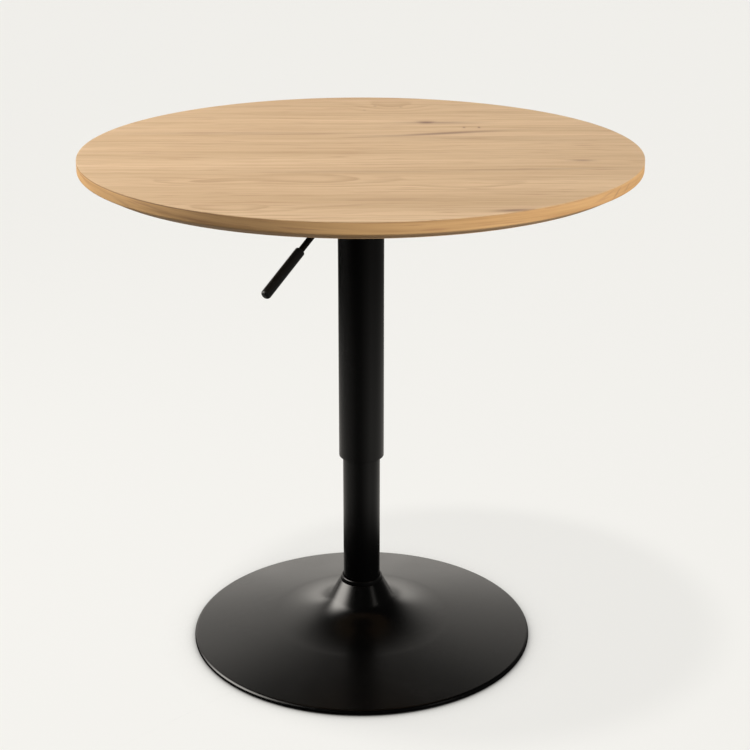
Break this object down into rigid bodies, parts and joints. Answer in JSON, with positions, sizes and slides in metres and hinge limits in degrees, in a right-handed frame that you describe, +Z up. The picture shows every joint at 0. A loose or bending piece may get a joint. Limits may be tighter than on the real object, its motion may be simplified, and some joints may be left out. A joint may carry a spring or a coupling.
{
  "type": "round pedestal table",
  "caption": "Round pedestal table with an oak top, a telescopic black column with a release lever, and a trumpet base.",
  "frame": {"origin": "on the floor, on the column's axis", "axes": "+Z up; -Y is the front, where the lever hangs to the left of the column"},
  "size_m": [0.7, 0.7, 0.67],
  "materials": {
    "oak": "clear matt lacquer on light oak",
    "board": "raw particle board",
    "black_coat": "satin fine-texture black powder coat",
    "black_plastic": "satin moulded plastic",
    "black_rubber": "matt",
    "white_plastic": "turned acetal",
    "brass": "turned",
    "zinc": "zinc plated steel",
    "steel": "ground",
    "iron": "black primer on cast iron"
  },
  "bodies": {
    "base": {"floor_ring": "black_rubber", "base_shell": "black_coat", "ballast_plate": "iron", "column_foot": "zinc", "foot_bolt_1": "zinc", "foot_bolt_2": "zinc", "foot_bolt_3": "zinc", "column_tube": "black_coat", "neck_ring": "black_plastic", "guide_bush": "black_plastic", "bearing_lower_race": "steel", "ball_cage": "brass"},
    "rod": {"piston_rod": "steel", "piston": "black_plastic", "bearing_upper_race": "steel", "bump_stop": "black_rubber", "rod_washer": "zinc", "rod_clip": "steel"},
    "top": {"top_veneer": "oak", "edge_band": "oak", "underside_veneer": "oak", "tabletop_core": "board", "mounting_plate": "black_coat", "plate_screw_1": "zinc", "plate_screw_2": "zinc", "plate_screw_3": "zinc", "plate_screw_4": "zinc", "thread_insert_1": "brass", "thread_insert_2": "brass", "thread_insert_3": "brass", "thread_insert_4": "brass", "cover_tube": "black_coat", "cover_glide_ring": "black_plastic", "taper_socket": "zinc", "lever_bracket": "zinc", "lever_pin": "steel", "gas_cylinder": "black_coat", "cylinder_gland": "white_plastic"},
    "lever": {"lever_rod": "black_coat", "lever_grip": "black_plastic"},
    "button": {"valve_button": "brass"}
  },
  "joints": [
    {"name": "top_swivel", "type": "hinge", "parent": "base", "child": "rod", "pos_m": [0, 0, 0.0211], "axis": [0, 0, 1], "continuous": true},
    {"name": "height_lift", "type": "slide", "parent": "rod", "child": "top", "axis": [0, 0, 1], "range_m": [0, 0.25]},
    {"name": "lever_pivot", "type": "hinge", "parent": "top", "child": "lever", "pos_m": [-0.01398, -0.01889, 0.618], "axis": [-0.8039, 0.5948, 0], "range_deg": [0, 7], "stiffness_Nm_per_rad": 1, "springref_deg": -5.73},
    {"name": "valve_press", "type": "slide", "parent": "top", "child": "button", "axis": [0, 0, -1], "range_m": [0, 0.003], "stiffness_N_per_m": 200, "springref_m": -0.003}
  ],
  "couplings": [
    {"joint": "valve_press", "follows": "lever_pivot", "m_per_rad": 0.0235}
  ]
}
